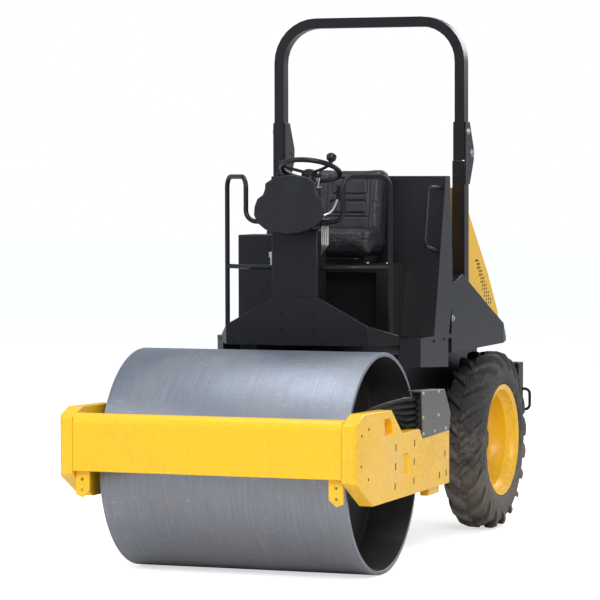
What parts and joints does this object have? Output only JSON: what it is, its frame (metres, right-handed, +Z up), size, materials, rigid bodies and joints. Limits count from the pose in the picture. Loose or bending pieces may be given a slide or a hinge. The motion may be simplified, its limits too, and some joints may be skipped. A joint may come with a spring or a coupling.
{
  "type": "road roller",
  "caption": "Articulated ride-on road roller with a smooth steel drum in a yoke, two lug tyres, open platform, seat, and folding roll bar",
  "frame": {"origin": "on the ground under the middle of the machine's length and width", "axes": "+Z up, -Y the way the machine drives forward, +X its left side"},
  "size_m": [1.64, 3.68, 3.01],
  "materials": {
    "yellow_paint": "satin",
    "black_paint": "satin",
    "grey_paint": "satin",
    "drum_steel": "rolled steel with fine rings and scratches",
    "cast_grey": "rough",
    "vinyl": "soft black vinyl, satin",
    "tyre_rubber": "matt, dusty",
    "hose_rubber": "matt",
    "chrome": "polished"
  },
  "bodies": {
    "rear_frame_body": {"rear_frame": "black_paint", "rear_axle": "cast_grey", "engine_block": "cast_grey", "deck": "black_paint", "cowl": "black_paint", "console_column": "black_paint", "console_pod": "black_paint", "seat_pedestal": "black_paint", "seat_cushion": "vinyl", "seat_back": "vinyl", "bulkhead": "black_paint", "side_console": "black_paint", "grab_handle": "black_paint", "rear_body": "black_paint", "rear_bumper": "black_paint", "handrail_left": "black_paint", "handrail_right": "black_paint", "rops_base_left": "black_paint", "rops_base_right": "black_paint", "tie_down_left": "black_paint", "tie_down_right": "black_paint"},
    "front_frame": {"front_beam": "yellow_paint", "yoke_crossmember": "yellow_paint", "side_arm_left": "yellow_paint", "side_arm_right": "yellow_paint", "hose_guard_left": "grey_paint", "hose_guard_right": "grey_paint", "drum_mount_left": "cast_grey", "drum_mount_right": "cast_grey", "hoses_left": "hose_rubber", "hoses_right": "hose_rubber", "front_bracket_left": "yellow_paint", "front_bracket_right": "yellow_paint", "rear_bracket_left": "yellow_paint", "rear_bracket_right": "yellow_paint"},
    "drum": {"drum": "drum_steel"},
    "rear_wheel_left": {"rear_tyre_left": "tyre_rubber", "rear_rim_left": "yellow_paint"},
    "rear_wheel_right": {"rear_tyre_right": "tyre_rubber", "rear_rim_right": "yellow_paint"},
    "steering_wheel": {"steering_wheel": "vinyl"},
    "rops_hoop": {"rops_hoop": "black_paint"},
    "hood": {"hood": "yellow_paint"},
    "steering_barrel": {"steering_barrel": "black_paint"},
    "steering_rod": {"steering_rod": "chrome"}
  },
  "joints": [
    {"name": "articulation", "type": "hinge", "parent": "rear_frame_body", "child": "front_frame", "pos_m": [0, -0.09, 0.58], "axis": [0, 0, 1], "range_deg": [-33, 33]},
    {"name": "drum_spin", "type": "hinge", "parent": "front_frame", "child": "drum", "pos_m": [0, -1.04, 0.585], "axis": [1, 0, 0], "continuous": true},
    {"name": "rear_wheel_left_spin", "type": "hinge", "parent": "rear_frame_body", "child": "rear_wheel_left", "pos_m": [0.555, 1.18, 0.525], "axis": [1, 0, 0], "continuous": true},
    {"name": "rear_wheel_right_spin", "type": "hinge", "parent": "rear_frame_body", "child": "rear_wheel_right", "pos_m": [-0.555, 1.18, 0.525], "axis": [1, 0, 0], "continuous": true},
    {"name": "steering_wheel_turn", "type": "hinge", "parent": "rear_frame_body", "child": "steering_wheel", "pos_m": [0, -0.28, 2.125], "axis": [0, 0.3584, 0.9336], "continuous": true},
    {"name": "rops_fold", "type": "hinge", "parent": "rear_frame_body", "child": "rops_hoop", "pos_m": [0, 0.8, 2.22], "axis": [-1, 0, 0], "range_deg": [0, 95]},
    {"name": "hood_tilt", "type": "hinge", "parent": "rear_frame_body", "child": "hood", "pos_m": [0, 1.722, 1.112], "axis": [1, 0, 0], "range_deg": [-55, 0]},
    {"name": "steering_barrel_swing", "type": "hinge", "parent": "rear_frame_body", "child": "steering_barrel", "pos_m": [0.17, 0.46, 0.58], "axis": [0, 0, 1], "range_deg": [-3, 3]},
    {"name": "steering_rod_slide", "type": "slide", "parent": "steering_barrel", "child": "steering_rod", "axis": [0, -1, 0], "range_m": [-0.095, 0.095]}
  ],
  "couplings": [
    {"joint": "steering_barrel_swing", "follows": "articulation", "ratio": 0.0842},
    {"joint": "steering_rod_slide", "follows": "articulation", "m_per_rad": -0.163}
  ]
}
